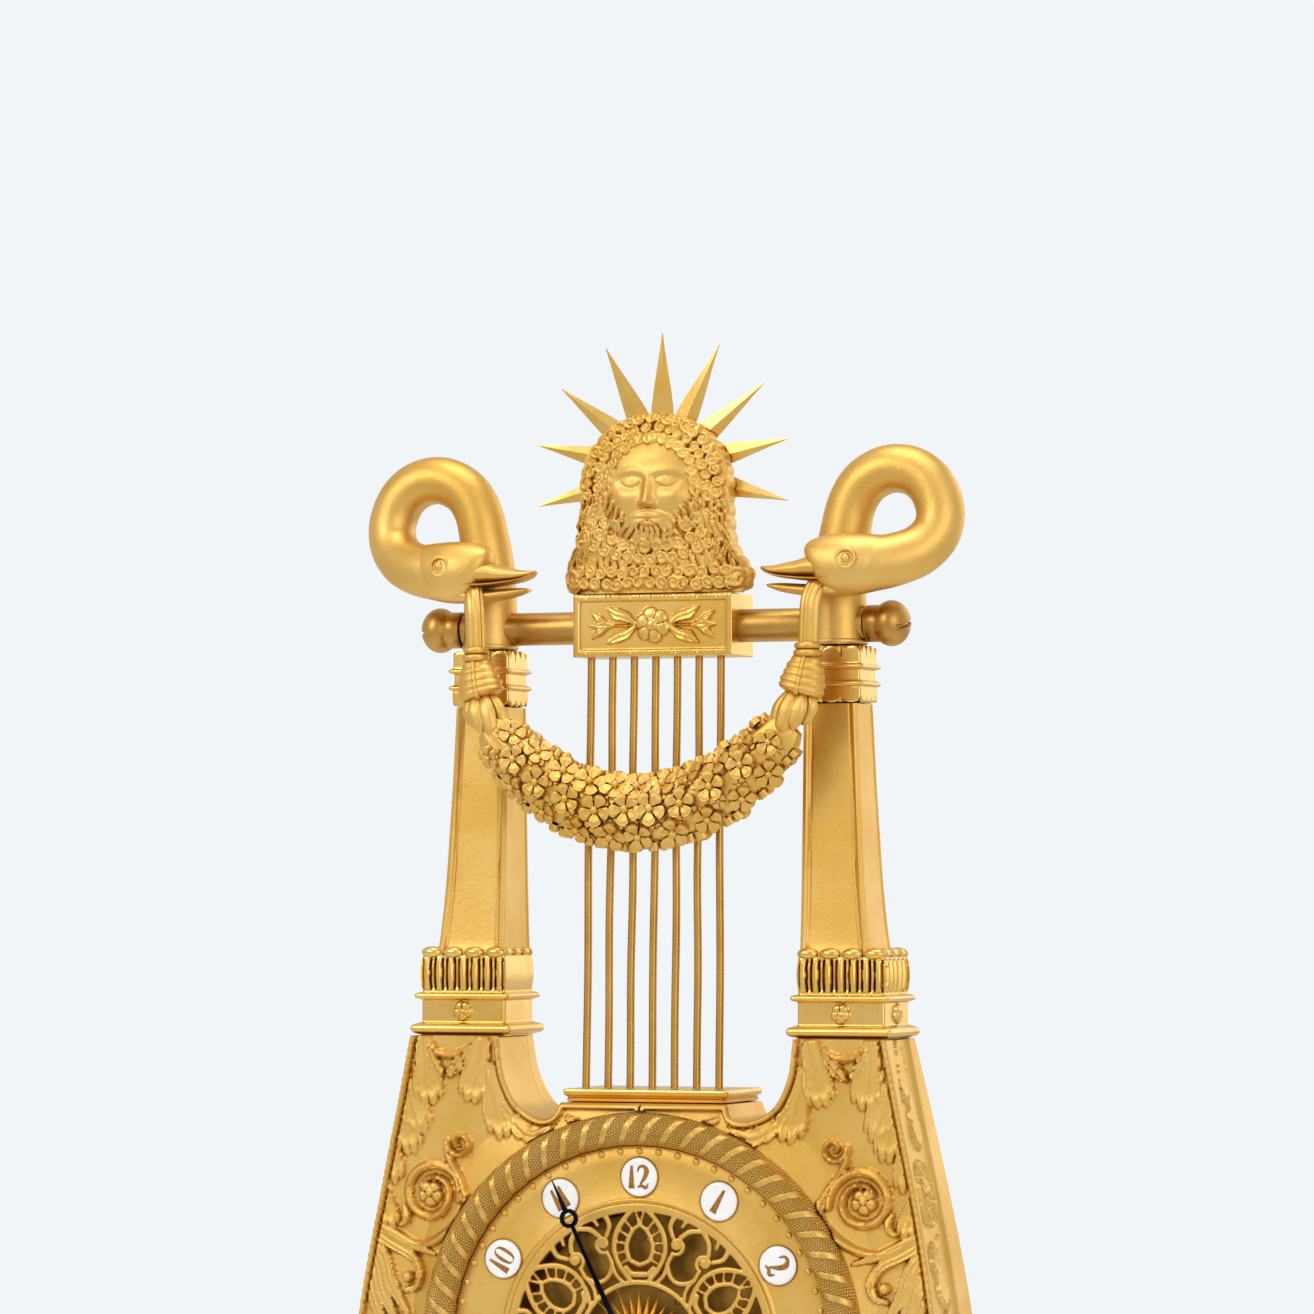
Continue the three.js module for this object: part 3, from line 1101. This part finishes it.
// Motion work behind the dial
function makeMinuteWheel() {
  const at = [0, minuteWheelZ];
  const post = rodY(arbor.pivotRadius, level.hour, frontInside - gap, sides.pivot, ...at);
  const star = toothed(motion.pinion, hourModule, pinionDepthShare);
  return wheelAt(toothed(motion.wheel, motion.module), level.cannon, wheelThickness, ...at)
    .add(wheelAt(star, level.hour, level.cannon - level.hour + gap, ...at))
    .add(solid(post));
}

const pipeBore = arbor.radius + running;

function makeHourWheel() {
  const pipeOuter = pipeBore + hourPipe.wall;
  const pipeBack = level.hour + wheelThickness;
  const pipe = rodY(pipeOuter, -hourHand.front, pipeBack, sides.small);
  const bore = rodY(pipeBore, -hourHand.front - overrun, pipeBack + overrun, sides.small);
  const wheel = wheelAt(toothed(motion.hour, hourModule), level.hour, wheelThickness, 0, 0);
  return solid(pipe).add(wheel).subtract(solid(bore));
}

function makeHands() {
  const group = new THREE.Group();
  const minuteAngle = (time.minute / 60) * 2 * Math.PI;
  const hourAngle = ((time.hour + time.minute / 60) / 12) * 2 * Math.PI;
  group.add(piece("minute_hand", makeHand(minuteHand, arbor.radius + running, minuteAngle), finish.steel));
  const hourBore = pipeBore + hourPipe.wall + running;
  group.add(piece("hour_hand", makeHand(hourHand, hourBore, hourAngle), finish.steel));
  const tip = -minuteHand.front - gap;
  const bore = arbor.radius + running;
  const floor = -minuteHand.front - cap.height / 2 - running;
  const capShares = [[1, 0], [1, 0.4], [0.7, 0.8], [0, 1]];
  const capProfile = [
    [bore, tip],
    ...capShares.map(([r, h]) => [cap.radius * r, tip - cap.height * h]),
    [0, floor],
    [bore, floor],
    [bore, tip],
  ];
  group.add(piece("hand_cap", solid(turned(capProfile, sides.small)), finish.steel));
  return group;
}

// Suspension, pendulum, bell and hammer behind the back plate
function makeStrikeAndSwing() {
  const group = new THREE.Group();
  const add = (name, shape, material) => group.add(piece(name, shape, material));
  const behind = plate.back + plate.thickness + gap;
  const p = pendulum;
  const rodTop = palletAt.z + p.rodRadius;
  const cockZ = rodTop + gap;
  const cockHigh = [cock.halfWidth, behind + cock.depth, cockZ + cock.height];
  add("suspension_cock", solid(block3([-cock.halfWidth, behind, cockZ], cockHigh)), finish.brass);

  const bobZ = palletAt.z - p.length;
  const rodEnd = bobZ - p.bobRadius - p.tail;
  const rod = new THREE.CylinderGeometry(p.rodRadius, p.rodRadius, rodTop - rodEnd, sides.pivot)
    .rotateX(Math.PI / 2)
    .translate(0, p.depth, (rodTop + rodEnd) / 2);
  const half = p.bobThickness / 2;
  const bobShares = [[0, -1], [0.7, -0.75], [1, 0], [0.7, 0.75], [0, 1]];
  const bobProfile = bobShares.map(([r, d]) => [p.bobRadius * r, half * d]);
  const bob = turned(bobProfile, sides.medium).translate(0, p.depth, bobZ);
  add("pendulum", solid(rod).add(solid(bob)), finish.brass);

  const b = bell;
  const bellShares = [[0.055, 1], [0.4, 0.97], [0.75, 0.75], [0.95, 0.34], [1, 0]];
  const outside = bellShares.map(([r, d], i) => [i ? b.radius * r : b.holeRadius, b.front + b.depth * d]);
  const inside = bellShares.map(([r, d], i) => [
    i ? (b.radius - b.wall) * r : b.holeRadius,
    b.front + (b.depth - b.wall) * d,
  ]);
  add("bell", solid(turned([...outside, ...inside.reverse(), outside[0]], sides.medium)), finish.bright);

  const bp = bellPost;
  const armFrom = b.front + b.depth + gap;
  const armTo = armFrom + bp.armHeight;
  const reach = Math.hypot(bp.x, bp.z);
  const post = rodY(bp.radius, behind, armTo, sides.small, bp.x, bp.z);
  const armLow = [-bp.armHalfWidth, armFrom, -bp.armHalfWidth];
  const arm = block3(armLow, [bp.armHalfWidth, armTo, reach]).rotateY(Math.atan2(bp.x, bp.z));
  const screwFrom = b.front + b.depth - b.wall - gap - bp.armHeight;
  const screw = rodY(b.holeRadius - running, screwFrom, armTo, sides.small);
  const nut = rodY(bp.nutRadius, screwFrom, screwFrom + bp.armHeight, sides.pivot);
  add("bell_stand", solid(post).add(solid(arm)).add(solid(screw)).add(solid(nut)), finish.bright);

  const h = hammer;
  const at = [hammerAt.x, hammerAt.z];
  const headX = b.radius + hammerHead.stand + hammerHead.length / 2;
  const armFront = b.front + h.armBehind;
  const armBack = armFront + h.armThickness;
  const spindle = rodY(arbor.radius, frontInside + gap, armBack, sides.small, ...at);
  const pivot = rodY(arbor.pivotRadius, plate.front + gap, frontInside + overrun, sides.pivot, ...at);
  const [overX, overZ] = [headX - hammerAt.x, hammerHead.z - hammerAt.z];
  const leverLow = [-h.armHalfWidth, armFront, -h.armHalfWidth];
  const lever = block3(leverLow, [h.armHalfWidth, armBack, Math.hypot(overX, overZ)])
    .rotateY(Math.atan2(overX, overZ))
    .translate(hammerAt.x, 0, hammerAt.z);
  const head = new THREE.CylinderGeometry(hammerHead.radius, hammerHead.radius, hammerHead.length, sides.small)
    .rotateZ(Math.PI / 2)
    .translate(headX, (armFront + armBack) / 2, hammerHead.z);
  add("hammer", solid(spindle).add(solid(pivot)).add(solid(lever)).add(solid(head)), finish.bright);
  return group;
}

// Rear drum and its hinged door
function makeRear() {
  const group = new THREE.Group();
  const h = hinge;
  const seat = body.halfDepth + gap;
  const flangeRadius = rearHoleRadius + drum.flange;
  const drumProfile = [
    [rearHoleRadius, seat], [flangeRadius, seat], [flangeRadius, seat + drum.flangeThickness],
    [drumRadius, seat + drum.flangeThickness], [drumRadius, drumBack], [rearHoleRadius, drumBack],
    [rearHoleRadius, seat],
  ];
  const uprightRod = (radius, low, high) => {
    const profile = [[0, low], [radius, low], [radius, high], [0, high]];
    return solid(turnedZ(profile, sides.small).translate(hingeX, hingeDepth, 0));
  };
  const pinHole = uprightRod(h.pinRadius + running, -2 * h.reach, 2 * h.reach);
  let ring = solid(turned(drumProfile, sides.large));
  for (const side of [-1, 1]) {
    const near = side * (h.doorHalf + gap);
    const far = side * h.reach;
    const [low, high] = [Math.min(near, far), Math.max(near, far)];
    const ear = block3([rearHoleRadius, drumBack - h.knuckleRadius, low], [hingeX, drumBack - gap, high]);
    ring = ring.add(uprightRod(h.knuckleRadius, low, high)).add(solid(ear));
  }
  const inside = rodY(rearHoleRadius, seat - overrun, drumBack + overrun, sides.large);
  ring = ring.subtract(pinHole).subtract(solid(inside));
  group.add(piece("rear_drum", ring, finish.burnished));

  const back = doorFront + door.thickness;
  const [middle, rim] = [0.8, 0.9].map((rimShare) => doorRadius * rimShare);
  const coverProfile = [
    [0, doorFront + door.dome - door.thickness / 2], [middle, doorFront + door.thickness / 2],
    [rim, doorFront], [doorRadius, doorFront], [doorRadius, back - gap], [rim, back],
    [middle, back + door.thickness / 2], [0, back + door.dome - door.thickness / 2],
  ];
  const clearHalf = h.knuckleRadius + gap;
  const room = (low, high) => {
    return solid(block3([hingeX - clearHalf, drumBack, low], [hingeX + clearHalf, back + overrun, high]));
  };
  const leafLow = [doorRadius - h.knuckleRadius, doorFront, -h.doorHalf];
  const leaf = block3(leafLow, [hingeX, back - gap, h.doorHalf]);
  const tabLow = [-doorRadius - door.tabLength, doorFront, -h.doorHalf];
  const tab = block3(tabLow, [-doorRadius + door.tabLength, back - gap, h.doorHalf]);
  const cover = solid(turned(coverProfile, sides.large))
    .subtract(room(-h.reach - gap, -h.doorHalf))
    .subtract(room(h.doorHalf, h.reach + gap))
    .add(uprightRod(h.knuckleRadius, -h.doorHalf, h.doorHalf))
    .add(solid(leaf))
    .add(solid(tab))
    .subtract(pinHole);
  group.add(piece("rear_door", cover, finish.burnished));

  const headTop = h.reach + gap + h.pinRadius;
  const pinHead = uprightRod(h.knuckleRadius, h.reach + gap, headTop);
  const pin = uprightRod(h.pinRadius, -h.reach, headTop).add(pinHead);
  group.add(piece("hinge_pin", pin, finish.bright));
  return group;
}

// Assembly
clock.add(makeBase());
clock.add(piece("lyre_body", makeBody(), finish.matte));
for (const [side, name] of [[-1, "left"], [1, "right"]]) {
  clock.add(makeArm(side, name));
  const barHole = solid(
    turnedX([[0, 0], [bar.radius + gap, 0], [bar.radius + gap, knobTip], [0, knobTip]], sides.medium)
      .translate(0, 0, barZ),
  );
  const hole = side > 0 ? barHole : barHole.mirror([1, 0, 0]);
  clock.add(piece("swan_" + name, makeSwan(side).subtract(hole), finish.matte));
  const hung = makeHanger(side, [makeSwan(side, gap), makeGarland(gap)]);
  clock.add(piece("garland_hanger_" + name, hung, finish.matte));
}
clock.add(makeBarPieces());
clock.add(piece("plaque", makePlaque(), finish.burnished));
clock.add(piece("sun_mask", makeMask(), finish.matte));
clock.add(piece("ray_crown", makeRays(), finish.burnished));
clock.add(makeStrings());
clock.add(piece("garland", makeGarland(), finish.matte));

const works = new THREE.Group();
works.position.set(0, 0, dialZ);
works.add(piece("bezel", makeBezel(), finish.matte));
works.add(piece("dial_plate", makeDial(), finish.matte));
works.add(makeHands());
works.add(makeTrain());
works.add(makeStrikeAndSwing());
works.add(makeRear());
clock.add(works);

export default clock;
